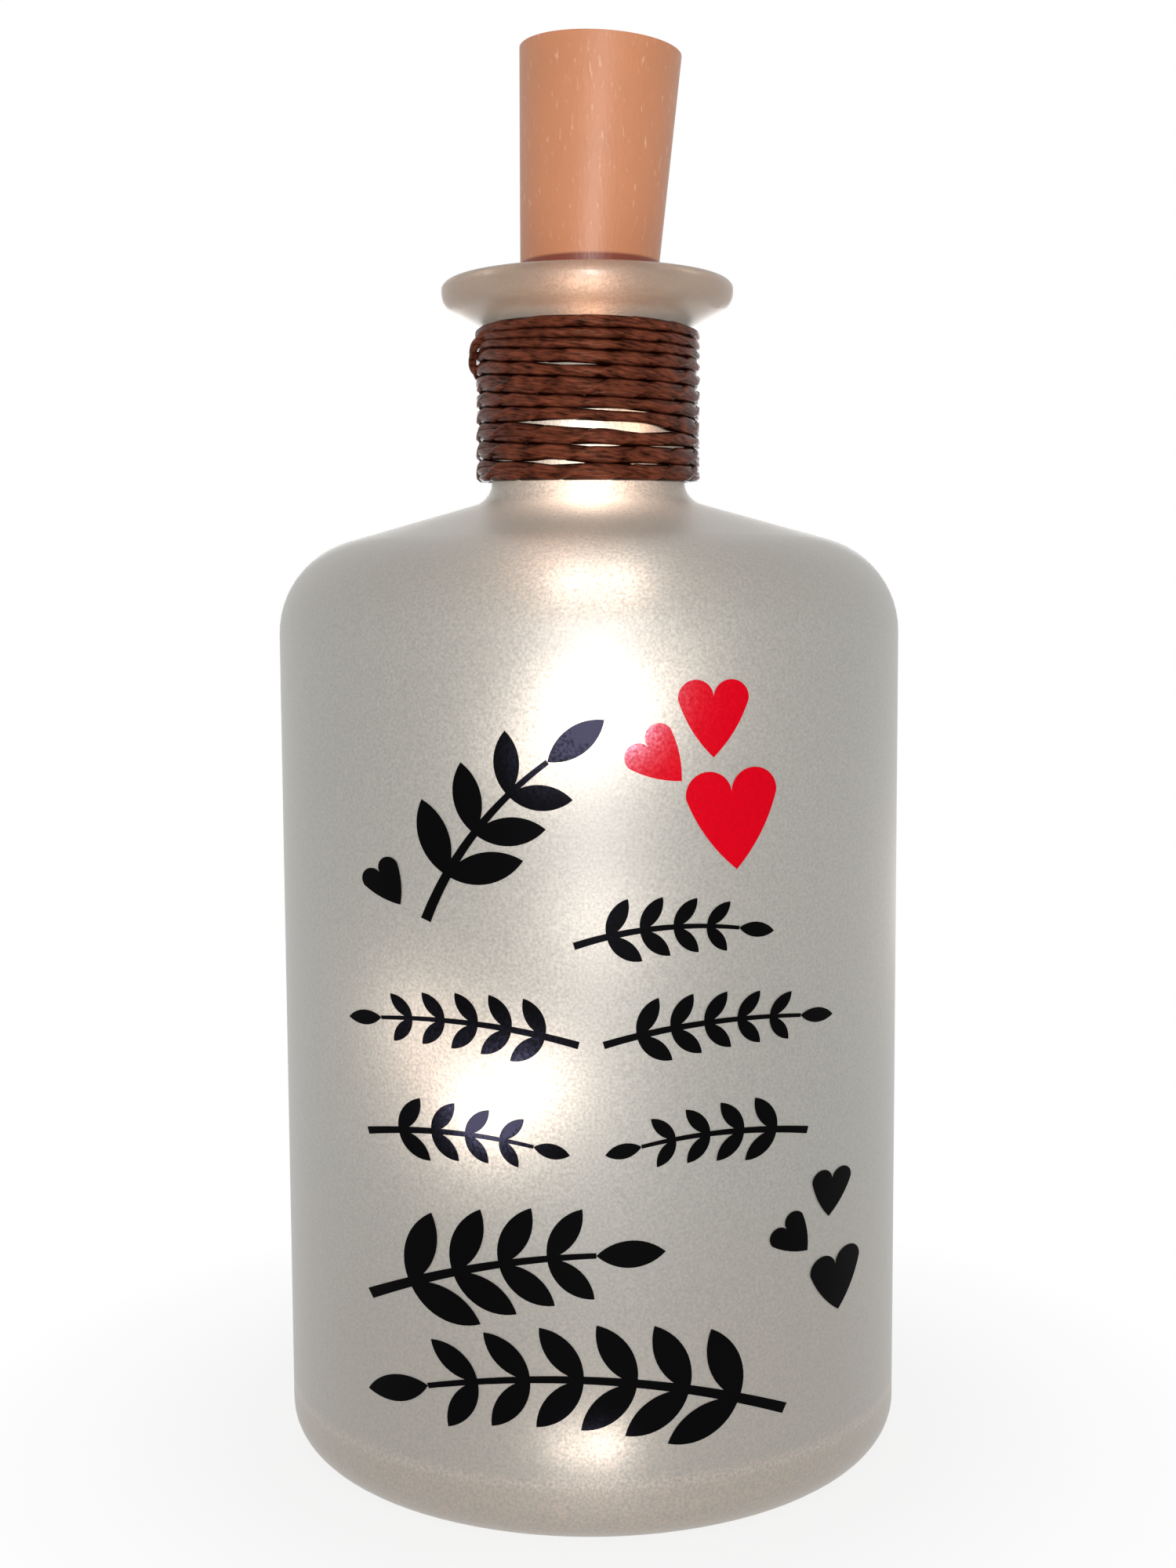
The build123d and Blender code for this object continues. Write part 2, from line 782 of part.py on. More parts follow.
string_line = wire_route.wire()
wire_length = string_line.length
string_points = [string_line @ (i / wire_measures) for i in range(wire_measures + 1)]
string_gap = least_gap(string_points, round(bead_skip / wire_length * wire_measures), wire_diameter)
arc_radii = [edge.radius for edge in string_line.edges().filter_by(GeomType.CIRCLE)]
print("LED string: length", round(wire_length, 1), "least gap", round(string_gap, 2), "over", least_turn_gap)
print("LED string: arc radii", round(min(arc_radii), 1), "to", round(max(arc_radii), 1))

# LED drops: one every led_spacing along the string, each with a bore for the wire and a chip in a pocket
bead_bore_radius = wire_radius + bead_bore_clearance
chip_seat = bead_bore_radius + chip_clearance
chip_pocket = chip_seat + chip_height + chip_clearance
led_places = [led_first + i * led_spacing for i in range(led_count)]


def led_frame(place):
    """Return a drop's middle, its direction along the wire and its level direction across the wire."""
    middle = string_line.position_at(place, position_mode=PositionMode.LENGTH)
    along = string_line.tangent_at(place, position_mode=PositionMode.LENGTH)
    across = along.cross(Vector(0, 0, 1)).normalized()
    return middle, along, across


for number, place in enumerate(led_places, 1):
    middle, along, across = led_frame(place)
    with BuildPart() as led_bead:
        with BuildSketch(Plane(middle, x_dir=across, z_dir=across.cross(along))):
            with BuildLine():
                ThreePointArc(
                    (bead_tip_radius, -bead_length / 2),
                    (bead_radius, 0),
                    (bead_tip_radius, bead_length / 2),
                )
                Polyline(
                    (bead_tip_radius, bead_length / 2),
                    (bead_bore_radius, bead_length / 2),
                    (bead_bore_radius, -bead_length / 2),
                    (bead_tip_radius, -bead_length / 2),
                )
            make_face()
        revolve(axis=Axis(middle, along))
        with BuildSketch(Plane(middle, x_dir=along, z_dir=across)):
            Rectangle(chip_length + 2 * chip_clearance, chip_width + 2 * chip_clearance)
        extrude(amount=chip_pocket, mode=Mode.SUBTRACT)
    led_bead.part.label = f"led_bead_{number:02d}"
    export_step(led_bead.part, f"parts/led_bead_{number:02d}.step")

    with BuildPart() as led_chip:
        with BuildSketch(Plane(middle + across * chip_seat, x_dir=along, z_dir=across)):
            Rectangle(chip_length, chip_width)
        extrude(amount=chip_height)
    led_chip.part.label = f"led_chip_{number:02d}"
    export_step(led_chip.part, f"parts/led_chip_{number:02d}.step")
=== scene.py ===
"""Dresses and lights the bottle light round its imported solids.

Lengths are metres in the frame of the solids: +Z up, the front towards -Y, and the origin at the middle of
the bottle's foot. A size that a maker gives in millimetres is written as a number times MM.
"""

import logging
import math
from dataclasses import dataclass
from enum import Enum
from functools import cached_property
from typing import Any, Union

import bpy
from mathutils import Matrix, Vector


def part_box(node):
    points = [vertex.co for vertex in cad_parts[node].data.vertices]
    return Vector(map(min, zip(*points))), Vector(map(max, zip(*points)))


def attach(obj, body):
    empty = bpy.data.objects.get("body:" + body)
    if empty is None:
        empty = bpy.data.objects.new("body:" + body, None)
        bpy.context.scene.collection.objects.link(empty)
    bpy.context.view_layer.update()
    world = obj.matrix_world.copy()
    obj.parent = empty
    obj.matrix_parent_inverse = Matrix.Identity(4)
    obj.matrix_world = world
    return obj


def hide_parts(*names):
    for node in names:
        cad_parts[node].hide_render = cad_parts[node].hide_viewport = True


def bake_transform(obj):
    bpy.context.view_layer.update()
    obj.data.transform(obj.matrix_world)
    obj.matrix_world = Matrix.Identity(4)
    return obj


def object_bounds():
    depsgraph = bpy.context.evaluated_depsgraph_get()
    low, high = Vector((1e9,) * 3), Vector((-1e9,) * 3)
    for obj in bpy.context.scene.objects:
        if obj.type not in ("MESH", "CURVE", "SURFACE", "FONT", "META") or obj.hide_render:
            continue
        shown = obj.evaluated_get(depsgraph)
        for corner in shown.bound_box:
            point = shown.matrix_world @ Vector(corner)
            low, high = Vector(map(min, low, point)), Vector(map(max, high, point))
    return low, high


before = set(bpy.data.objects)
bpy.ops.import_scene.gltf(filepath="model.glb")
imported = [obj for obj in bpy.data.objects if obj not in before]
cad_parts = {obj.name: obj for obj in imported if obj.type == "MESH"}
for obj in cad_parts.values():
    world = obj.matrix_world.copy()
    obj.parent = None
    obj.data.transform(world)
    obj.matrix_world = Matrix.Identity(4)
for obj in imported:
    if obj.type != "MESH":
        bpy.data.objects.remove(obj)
cad_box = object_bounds()

log = logging.getLogger("bottle_light")
MM = 0.001
Colour = tuple[float, float, float]
WHITE: Colour = (1.0, 1.0, 1.0)
Number = Union[float, "Value"]


class Body(Enum):
    """The bodies that new pieces ride on."""

    BOTTLE = "bottle"
    CORK = "cork"
    CARTRIDGE = "cartridge"


class Slot(Enum):
    """The names of two material slots, for the cord and the wire."""

    CORD = "waxed_cord"
    WIRE = "copper_wire"


def linear(level: int) -> float:
    """Turn one screen level, 0 to 255, into a shader's linear level."""
    share = level / 255
    return share / 12.92 if share <= 0.04045 else ((share + 0.055) / 1.055) ** 2.4


def paint(red: int, green: int, blue: int) -> Colour:
    """Give a colour by its screen levels."""
    return (linear(red), linear(green), linear(blue))


def shade(colour: Colour, share: float) -> Colour:
    """Darken or lighten a colour by a share."""
    return tuple(level * share for level in colour)


def smooth_step(share: float) -> float:
    """Ease a share from 0 to 1."""
    return share * share * (3 - 2 * share)


class Value:
    """A shader socket for Python expressions, each of which adds Math nodes."""

    def __init__(self, wiring: "Wiring", socket: bpy.types.NodeSocket) -> None:
        """Wrap a socket of a wiring's tree."""
        self.wiring = wiring
        self.socket = socket

    def math(self, operation: str, *numbers: Number) -> "Value":
        """Add one Math node.

        Args:
            operation: The node's operation.
            numbers: What its sockets take, in order.

        Returns:
            The node's result.
        """
        return self.wiring.node("ShaderNodeMath", {"operation": operation}, dict(enumerate(numbers)))

    def __add__(self, other: Number) -> "Value":
        """Add."""
        return self.math("ADD", self, other)

    def __radd__(self, other: Number) -> "Value":
        """Add to a number."""
        return self.math("ADD", other, self)

    def __sub__(self, other: Number) -> "Value":
        """Subtract."""
        return self.math("SUBTRACT", self, other)

    def __rsub__(self, other: Number) -> "Value":
        """Subtract from a number."""
        return self.math("SUBTRACT", other, self)

    def __mul__(self, other: Number) -> "Value":
        """Multiply."""
        return self.math("MULTIPLY", self, other)

    def __rmul__(self, other: Number) -> "Value":
        """Multiply a number."""
        return self.math("MULTIPLY", other, self)

    def __truediv__(self, other: Number) -> "Value":
        """Divide."""
        return self.math("DIVIDE", self, other)

    def __rtruediv__(self, other: Number) -> "Value":
        """Divide a number."""
        return self.math("DIVIDE", other, self)

    def __pow__(self, other: Number) -> "Value":
        """Raise to a power."""
        return self.math("POWER", self, other)


class Wiring:
    """One material's node tree."""

    output_kind = "ShaderNodeOutputMaterial"

    def __init__(self, name: str) -> None:
        """Start an empty material.

        Args:
            name: The material's name.
        """
        self.material = bpy.data.materials.new(name)
        self.material.use_nodes = True
        self.tree = self.material.node_tree
        self.tree.nodes.clear()

    def node(
        self,
        kind: str,
        settings: dict[str, Any] | None = None,
        sockets: dict[Any, Any] | None = None,
        output: int | str = 0,
    ) -> Value:
        """Add any node.

        Args:
            kind: The node's type.
            settings: Its own settings, and a ramp's stops, which are set first.
            sockets: Values or links of its input sockets, by name or number.
            output: The output socket to go on with.

        Returns:
            That output.
        """
        made = self.tree.nodes.new(kind)
        for key, setting in (settings or {}).items():
            if key == "stops":
                self.set_stops(made.color_ramp, setting)
            else:
                setattr(made, key, setting)
        for key, value in (sockets or {}).items():
            if isinstance(value, Value):
                self.tree.links.new(value.socket, made.inputs[key])
            elif isinstance(made.inputs[key].default_value, bpy.types.bpy_prop_array) and len(value) == 3:
                length = len(made.inputs[key].default_value)
                made.inputs[key].default_value = (*value, 1.0)[:length]
            else:
                made.inputs[key].default_value = value
        return Value(self, made.outputs[output])

    @staticmethod
    def set_stops(ramp: bpy.types.ColorRamp, stops: list[tuple[float, Colour]]) -> None:
        """Give a ramp its stops.

        Args:
            ramp: The ramp.
            stops: Each stop's place and colour.
        """
        while len(ramp.elements) < len(stops):
            ramp.elements.new(1.0)
        for element, (place, colour) in zip(ramp.elements, stops):
            element.position = place
            element.color = (*colour, 1.0)

    @cached_property
    def place(self) -> Value:
        """The Object coordinates."""
        return self.node("ShaderNodeTexCoord", output="Object")

    def axis(self, letter: str) -> Value:
        """Read one of the Object coordinates."""
        return self.node("ShaderNodeSeparateXYZ", None, {0: self.place}, letter)

    def vector(self, operation: str, *vectors: Any, **sockets: Any) -> Value:
        """Add one Vector Math node.

        Args:
            operation: The node's operation.
            vectors: What its vector sockets take, in order.
            sockets: What its other sockets take, by name.

        Returns:
            The node's result.
        """
        inputs = {**dict(enumerate(vectors)), **sockets}
        return self.node("ShaderNodeVectorMath", {"operation": operation}, inputs)

    def distance(self, point: Vector, height_share: float = 1.0) -> Value:
        """Measure how far a point is away.

        Args:
            point: The point.
            height_share: The height that counts as much as a length of 1 across.

        Returns:
            The distance, in metres.
        """
        apart = self.vector("SUBTRACT", self.place, point)
        if height_share != 1:
            apart = self.vector("MULTIPLY", apart, (1.0, 1.0, 1 / height_share))
        return self.node("ShaderNodeVectorMath", {"operation": "LENGTH"}, {0: apart}, "Value")

    def noise(self, size: float, detail: float = 2.0, vector: Value | None = None) -> Value:
        """Add a noise.

        Args:
            size: About how large its spots are, in metres.
            detail: Its detail.
            vector: Its coordinates, if they aren't the Object ones.

        Returns:
            Its level, about 0.5.
        """
        sockets = {"Vector": vector or self.place, "Scale": 1 / size, "Detail": detail}
        return self.node("ShaderNodeTexNoise", None, sockets)

    def mix(self, share: Number, first: Colour | Value, second: Colour | Value) -> Value:
        """Mix two colours.

        Args:
            share: How much of the second.
            first: The first colour.
            second: The second colour.

        Returns:
            The mixed colour.
        """
        return self.node("ShaderNodeMix", {"data_type": "RGBA"}, {0: share, 6: first, 7: second}, 2)

    def ramp(self, level: Value, stops: list[tuple[float, Colour]]) -> Value:
        """Colour a level by a ramp.

        Args:
            level: The level, 0 to 1.
            stops: Each stop's place and colour.

        Returns:
            The colour.
        """
        return self.node("ShaderNodeValToRGB", {"stops": stops}, {0: level})

    def spread(self, level: Value, low: float, high: float) -> Value:
        """Spread a level so that low becomes 0 and high becomes 1, and clamp it."""
        return self.node("ShaderNodeMapRange", {"clamp": True}, {0: level, 1: low, 2: high})

    def bump(self, height: Value, depth: float) -> Value:
        """Turn a height of 0 to 1 into a relief of a depth in metres."""
        return self.node("ShaderNodeBump", None, {"Height": height, "Distance": depth, "Strength": 1.0})

    def shader(self, sockets: dict[str, Any]) -> Value:
        """Add a Principled shader with these sockets."""
        return self.node("ShaderNodeBsdfPrincipled", None, sockets)

    def end(self, shader: Value) -> None:
        """End the tree in a shader.

        Args:
            shader: The shader.
        """
        made = self.tree.nodes.new(self.output_kind)
        self.tree.links.new(shader.socket, made.inputs["Surface"])


class SkyWiring(Wiring):
    """The world's node tree."""

    output_kind = "ShaderNodeOutputWorld"

    def __init__(self, name: str) -> None:
        """Start an empty world and put it in the scene.

        Args:
            name: The world's name.
        """
        self.world = bpy.data.worlds.new(name)
        self.world.use_nodes = True
        self.tree = self.world.node_tree
        self.tree.nodes.clear()
        bpy.context.scene.world = self.world


@dataclass(frozen=True)
class Finish:
    """A procedural finish, wired at its first use and shared by the pieces that wear it."""

    name: str

    @cached_property
    def material(self) -> bpy.types.Material:
        """The finish's material."""
        wiring = Wiring(self.name)
        self.wire(wiring)
        return wiring.material

    def wire(self, wiring: Wiring) -> None:
        """Wire the finish's nodes."""
        raise NotImplementedError


@dataclass(frozen=True)
class Moulded(Finish):
    """Moulded plastic or rubber: faint flow marks, and a fine grain in gloss and relief."""

    colour: Colour
    roughness: float = 0.42
    mottle: float = 0.12
    mottle_size: float = 4 * MM
    grain_size: float = 0.35 * MM
    grain_depth: float = 0.012 * MM

    def wire(self, wiring: Wiring) -> None:
        """Wire the flow marks and the grain.

        Args:
            wiring: The tree that gets the nodes.
        """
        flow = wiring.spread(wiring.noise(self.mottle_size, 3.0), 0.3, 0.7)
        grain = wiring.noise(self.grain_size)
        wiring.end(wiring.shader({
            "Base Color": wiring.mix(flow, shade(self.colour, 1 - self.mottle), self.colour),
            "Roughness": self.roughness + 0.2 * (grain - 0.5),
            "Normal": wiring.bump(grain, self.grain_depth),
        }))


@dataclass(frozen=True)
class CorkPlastic(Finish):
    """The stopper's cork-coloured plastic: soft gloss, fine scuffs, and a painted contact shadow just above
    the lip.
    """

    mouth_height: float
    colour: Colour = paint(194, 126, 86)
    # The painted contact shadow: its colour, and its band's height above the mouth and its width.
    mouth_colour: Colour = paint(116, 40, 3)
    line_height: float = 1.9 * MM
    line_width: float = 1.7 * MM
    scuff_colour: Colour = paint(240, 198, 170)
    scuff_size: float = 0.5 * MM
    scuff_stretch: float = 4.0
    scuff_depth: float = 0.05 * MM
    flow_size: float = 6 * MM

    def wire(self, wiring: Wiring) -> None:
        """Wire the scuffs, the flow marks and the painted shadow line.

        Args:
            wiring: The tree that gets the nodes.
        """
        stretch = (1.0, 1.0, 1 / self.scuff_stretch)
        upright = wiring.node("ShaderNodeMapping", None, {0: wiring.place, "Scale": stretch})
        scuffs = wiring.noise(self.scuff_size, 4.0, upright)
        marks = wiring.spread(scuffs, 0.62, 0.8)
        flow = wiring.noise(self.flow_size, 3.0)
        plain = wiring.mix(flow, shade(self.colour, 0.9), shade(self.colour, 1.06))
        # Painted shadow: a dark band on the stopper just above the glass's mouth, where the lip meets it.
        away = (wiring.axis("Z") - self.mouth_height - self.line_height) / self.line_width
        ring = wiring.spread(away, -0.5, -0.3) * wiring.spread(away, 0.5, 0.3)
        scuffed = wiring.mix(0.6 * marks, plain, self.scuff_colour)
        wiring.end(wiring.shader({
            "Base Color": wiring.mix(ring, scuffed, self.mouth_colour),
            "Roughness": 0.46 - 0.16 * marks,
            "Specular IOR Level": 0.65,
            "Normal": wiring.bump(scuffs, self.scuff_depth),
        }))


@dataclass(frozen=True)
class Plated(Finish):
    """Plated or drawn metal: fine wear in its gloss, and a little tarnish in its colour."""

    colour: Colour
    roughness: float = 0.28
    tarnish: float = 0.3
    wear_size: float = 0.5 * MM
    wear_depth: float = 0.004 * MM

    def wire(self, wiring: Wiring) -> None:
        """Wire the wear and the tarnish.

        Args:
            wiring: The tree that gets the nodes.
        """
        wear = wiring.noise(self.wear_size, 4.0)
        patches = wiring.spread(wiring.noise(8 * self.wear_size), 0.4, 0.8)
        wiring.end(wiring.shader({
            "Base Color": wiring.mix(patches, self.colour, shade(self.colour, 1 - self.tarnish)),
            "Metallic": 1.0,
            "Roughness": self.roughness + 0.25 * (wear - 0.5),
            "Normal": wiring.bump(wear, self.wear_depth),
        }))


@dataclass(frozen=True)
class LightSpot:
    """Where an LED's light shows on the wall: middle and reach in millimetres, level and shape."""

    middle: tuple[float, float, float]
    level: float
    reach: float
    height_share: float = 1.0


@dataclass(frozen=True)
class Glow:
    """The light of the string's LEDs, as it shows on the frosted wall."""

    spots: tuple[LightSpot, ...]

    def field(self, wiring: Wiring) -> Value:
        """Add up the light of all spots.

        Args:
            wiring: The tree that gets the nodes.

        Returns:
            The light's level, 1 where it shows white.
        """
        levels = [self.spot_level(wiring, spot) for spot in self.spots]
        return sum(levels[1:], levels[0])

    @staticmethod
    def spot_level(wiring: Wiring, spot: LightSpot) -> Value:
        """Work out one spot's light by the distance from its middle.

        Args:
            wiring: The tree that gets the nodes.
            spot: The spot.

        Returns:
            The spot's level.
        """
        away = wiring.distance(Vector(spot.middle) * MM, spot.height_share)
        return spot.level / (1 + (away / (spot.reach * MM)) ** 2) ** 2


@dataclass(frozen=True)
class FrostedGlass(Finish):
    """Etched glass: a fine grain, a thicker and warmer base, and the LEDs' light from inside."""

    glow: Glow
    amber: Glow
    height: float
    base_height: float
    lip_height: float = 153.2 * MM
    lip_blend: float = 1.5 * MM
    index: float = 1.46
    wall: Colour = paint(136, 134, 128)
    shoulder: Colour = paint(130, 122, 113)
    low_wall: Colour = paint(137, 127, 117)
    base: Colour = paint(150, 130, 113)
    base_line: Colour = paint(170, 153, 139)
    lip: Colour = paint(186, 164, 146)
    inner_light: Colour = (0.104, 0.1, 0.09)
    lip_light: Colour = (0.03, 0.025, 0.02)
    glow_light: Colour = (1.0, 0.84, 0.7)
    amber_light: Colour = (1.0, 0.5, 0.27)
    grain_size: float = 0.36 * MM
    grain_depth: float = 0.025 * MM

    def wire(self, wiring: Wiring) -> None:
        """Wire the wall's tones, the clearer lip, the grain and the light.

        Args:
            wiring: The tree that gets the nodes.
        """
        grain = wiring.noise(self.grain_size, 3.0)
        sparkle = wiring.spread(grain, 0.3, 0.7)
        rim = self.base_height / self.height
        level = wiring.axis("Z")
        tones = wiring.ramp(level / self.height, [
            (0.0, self.base),
            (rim * 0.8, self.base),
            (rim * 0.92, self.base_line),
            (rim * 1.05, self.low_wall),
            (rim * 2.5, self.low_wall),
            (rim * 5, self.wall),
            (rim * 12.6, self.wall),
            (rim * 13.6, self.shoulder),
        ])
        twinkle = 0.65 + 0.7 * sparkle
        lit = self.glow.field(wiring) * twinkle
        warm = self.amber.field(wiring) * twinkle
        amber = wiring.vector("SCALE", self.amber_light, Scale=warm)
        light = wiring.vector("MULTIPLY_ADD", lit, self.glow_light, amber)
        wall = wiring.shader({
            "Base Color": wiring.mix(sparkle, shade(self.wall, 0.6), tones),
            "Roughness": 0.46 + 0.2 * (grain - 0.5),
            "IOR": self.index,
            "Specular IOR Level": 0.9,
            "Transmission Weight": 0.25,
            "Coat Weight": 0.6,
            "Coat Roughness": 0.44,
            "Coat IOR": 1.6,
            "Emission Color": wiring.vector("ADD", light, self.inner_light),
            "Emission Strength": 1.0,
            "Normal": wiring.bump(grain, self.grain_depth),
        })
        lip = wiring.shader({
            "Base Color": wiring.mix(grain, shade(self.lip, 0.85), self.lip),
            "Roughness": 0.31 + 0.1 * (grain - 0.5),
            "IOR": self.index,
            "Transmission Weight": 0.8,
            "Emission Color": wiring.vector("ADD", light, self.lip_light),
            "Emission Strength": 1.0,
            "Normal": wiring.bump(grain, 0.5 * self.grain_depth),
        })
        share = wiring.spread(level, self.lip_height, self.lip_height + self.lip_blend)
        wiring.end(wiring.node("ShaderNodeMixShader", None, {0: share, 1: wall, 2: lip}))


@dataclass(frozen=True)
class CutFilm(Finish):
    """Cut vinyl film: satin, with a little of the LEDs' light coming through."""

    glow: Glow
    colour: Colour
    lit_colour: Colour
    grain_size: float = 0.4 * MM
    grain_depth: float = 0.01 * MM

    def wire(self, wiring: Wiring) -> None:
        """Wire the film's grain and the light through it.

        Args:
            wiring: The tree that gets the nodes.
        """
        grain = wiring.noise(self.grain_size)
        lit = self.glow.field(wiring) * (0.4 + 1.2 * grain)
        through = lit.math("MINIMUM", lit, 1.0) ** 3
        wiring.end(wiring.shader({
            "Base Color": wiring.mix(grain, shade(self.colour, 0.7), self.colour),
            "Roughness": 0.55 + 0.2 * (grain - 0.5),
            "Specular IOR Level": 0.03,
            "Emission Color": wiring.vector("SCALE", self.lit_colour, Scale=through),
            "Emission Strength": 1.0,
            "Normal": wiring.bump(grain, self.grain_depth),
        }))


@dataclass(frozen=True)
class Waxed(Finish):
    """Waxed cotton: fibres along the turns, a little aslant, crinkles, patches of wax, and painted shade in
    the grooves between turns.
    """

    dark: Colour
    light: Colour
    winding_radius: float = 14.6 * MM
    groove_reach: float = 14.7 * MM
    face_reach: float = 15.15 * MM
    fibre_size: float = 0.3 * MM
    fibre_stretch: float = 10.0
    crinkle_size: float = 0.7 * MM
    crinkle_stretch: float = 2.5
    slant: float = 0.2
    patch_size: float = 2.5 * MM
    relief: float = 0.12 * MM
    wax_tint: Colour = (1.0, 0.62, 0.44)

    def wire(self, wiring: Wiring) -> None:
        """Wire the fibres and crinkles round the bottle's axis, the wax and the painted shade in the grooves
        between turns.

        Args:
            wiring: The tree that gets the nodes.
        """
        front = wiring.axis("X").math("ARCTAN2", wiring.axis("X"), 0 - wiring.axis("Y"))
        run = front * self.winding_radius
        rise = wiring.axis("Z") + run * self.slant
        along = wiring.node("ShaderNodeCombineXYZ", None, {0: run / self.fibre_stretch, 1: rise})
        fibres = wiring.noise(self.fibre_size, 4.0, along)
        sockets = {0: run / self.crinkle_stretch, 1: rise, 2: wiring.axis("Z")}
        across = wiring.node("ShaderNodeCombineXYZ", None, sockets)
        crinkles = wiring.noise(self.crinkle_size, 3.0, across)
        patches = wiring.noise(self.patch_size, 2.0)
        grain = wiring.spread(0.4 * fibres + 0.35 * crinkles + 0.25 * patches, 0.38, 0.64)
        # Painted shade: the colour goes dark where the cord lies deeper, in the grooves between turns.
        reach = (wiring.axis("X") ** 2 + wiring.axis("Y") ** 2) ** 0.5
        tone = grain * wiring.spread(reach, self.groove_reach, self.face_reach)
        wiring.end(wiring.shader({
            "Base Color": wiring.mix(tone, self.dark, self.light),
            "Roughness": 0.34 + 0.25 * (patches - 0.5),
            "Specular IOR Level": 0.12,
            "Specular Tint": self.wax_tint,
            "Normal": wiring.bump(0.3 * fibres + crinkles, self.relief),
        }))


@dataclass(frozen=True)
class SolderMask(Finish):
    """A circuit board's green mask, with the copper's tracks under it."""

    mask: Colour
    track: Colour
    track_size: float = 1.6 * MM
    track_depth: float = 0.03 * MM

    def wire(self, wiring: Wiring) -> None:
        """Wire the tracks as cells with gaps between them.

        Args:
            wiring: The tree that gets the nodes.
        """
        sockets = {"Vector": wiring.place, "Scale": 1 / self.track_size}
        edges = wiring.node("ShaderNodeTexVoronoi", {"feature": "DISTANCE_TO_EDGE"}, sockets)
        tracks = wiring.spread(edges, 0.06, 0.1)
        wiring.end(wiring.shader({
            "Base Color": wiring.mix(tracks, self.mask, self.track),
            "Roughness": 0.3 + 0.15 * tracks,
            "Normal": wiring.bump(tracks, self.track_depth),
        }))


@dataclass(frozen=True)
class Epoxy(Finish):
    """A clear cast drop, lit from inside by its chip."""

    light: Colour
    strength: float
    clear: Colour = paint(250, 240, 214)
    cloudy: Colour = paint(236, 220, 186)
    haze_size: float = 0.8 * MM

    def wire(self, wiring: Wiring) -> None:
        """Wire the drop's haze and light.

        Args:
            wiring: The tree that gets the nodes.
        """
        haze = wiring.noise(self.haze_size)
        wiring.end(wiring.shader({
            "Base Color": wiring.mix(haze, self.clear, self.cloudy),
            "Roughness": 0.12 + 0.2 * haze,
            "IOR": 1.5,
            "Transmission Weight": 0.5,
            "Emission Color": wiring.mix(haze, self.light, shade(self.light, 0.8)),
            "Emission Strength": self.strength,
        }))


def dress(finish: Finish, *nodes: str) -> None:
    """Give CAD nodes a finish.

    Args:
        finish: The finish.
        nodes: The nodes' names.
    """
    for name in nodes:
        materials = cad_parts[name].data.materials
        materials.clear()
        materials.append(finish.material)
        log.info("%s: %s", name, finish.name)


def numbered(name: str, first: int, last: int, form: str = "{:d}") -> list[str]:
    """List the names of repeated nodes.

    Args:
        name: Their common start.
        first: The first number.
        last: The last number.
        form: How the number is written.

    Returns:
        The names.
    """
    return [name + form.format(number) for number in range(first, last + 1)]


def select_only(piece: bpy.types.Object) -> None:
    """Select one object alone and make it the active one.

    Args:
        piece: The object.
    """
    bpy.ops.object.select_all(action="DESELECT")
    piece.select_set(True)
    bpy.context.view_layer.objects.active = piece


def new_curve(name: str) -> bpy.types.Object:
    """Add an empty curve to the scene.

    Args:
        name: The curve's name.

    Returns:
        Its object.
    """
    curve = bpy.data.curves.new(name, "CURVE")
    curve.dimensions = "3D"
    piece = bpy.data.objects.new(name, curve)
    bpy.context.scene.collection.objects.link(piece)
    return piece


def spline_line(points: list[Vector], resolution: int) -> list[Vector]:
    """Run a smooth spline along its control points and read the line that it takes.

    Args:
        points: The control points.
        resolution: Steps between two control points.

    Returns:
        The points on the line.
    """
    route = new_curve("route")
    spline = route.data.splines.new("NURBS")
    spline.points.add(len(points) - 1)
    for place, point in zip(spline.points, points):
        place.co = (*point, 1.0)
    spline.order_u = 3
    spline.use_endpoint_u = True
    spline.resolution_u = resolution
    mesh = bpy.data.meshes.new_from_object(route)
    line = [vertex.co.copy() for vertex in mesh.vertices]
    bpy.data.objects.remove(route)
    bpy.data.meshes.remove(mesh)
    return line


def lay_strands(
    name: str, strands: list[list[Vector]], radius: float, roundness: int, first_share: float = 1.0
) -> bpy.types.Object:
    """Lay round strands along their lines as one mesh.

    Args:
        name: The piece's name.
        strands: The strands' middle lines.
        radius: The strands' radius.
        roundness: How finely they are rounded.
        first_share: The first strand's thickness, as a share of the others'.

    Returns:
        The piece.
    """
    piece = new_curve(name)
    piece.data.bevel_depth = radius
    piece.data.bevel_resolution = roundness
    piece.data.use_fill_caps = True
    for number, strand in enumerate(strands):
        spline = piece.data.splines.new("POLY")
        spline.points.add(len(strand) - 1)
        for place, point in zip(spline.points, strand):
            place.co = (*point, 1.0)
            place.radius = 1.0 if number else first_share
    select_only(piece)
    bpy.ops.object.convert(target="MESH")
    bpy.ops.object.shade_smooth()
    return piece


@dataclass(frozen=True)
class Rope:
    """Plies that lie round one another along a line."""

    plies: int
    ply_radius: float
    lay_radius: float
    pitch: float
    roundness: int = 1

    def ply_line(self, line: list[Vector], ply: int) -> list[Vector]:
        """Lead one ply round a line.

        Args:
            line: The rope's middle line.
            ply: The ply's number.

        Returns:
            The ply's own middle line.
        """
        found = []
        side = (line[1] - line[0]).orthogonal()
        run = 0.0
        for number, point in enumerate(line):
            before = line[max(number - 1, 0)]
            after = line[min(number + 1, len(line) - 1)]
            way = (after - before).normalized()
            side = (side - way * side.dot(way)).normalized()
            run += (point - before).length
            angle = math.tau * (run / self.pitch + ply / self.plies)
            out = side * math.cos(angle) + way.cross(side) * math.sin(angle)
            found.append(point + out * self.lay_radius)
        return found

    def lay(self, name: str, line: list[Vector]) -> bpy.types.Object:
        """Lay the rope along a line as one mesh.

        Args:
            name: The piece's name.
            line: The rope's middle line.

        Returns:
            The piece.
        """
        strands = [self.ply_line(line, ply) for ply in range(self.plies)]
        return lay_strands(name, strands, self.ply_radius, self.roundness)


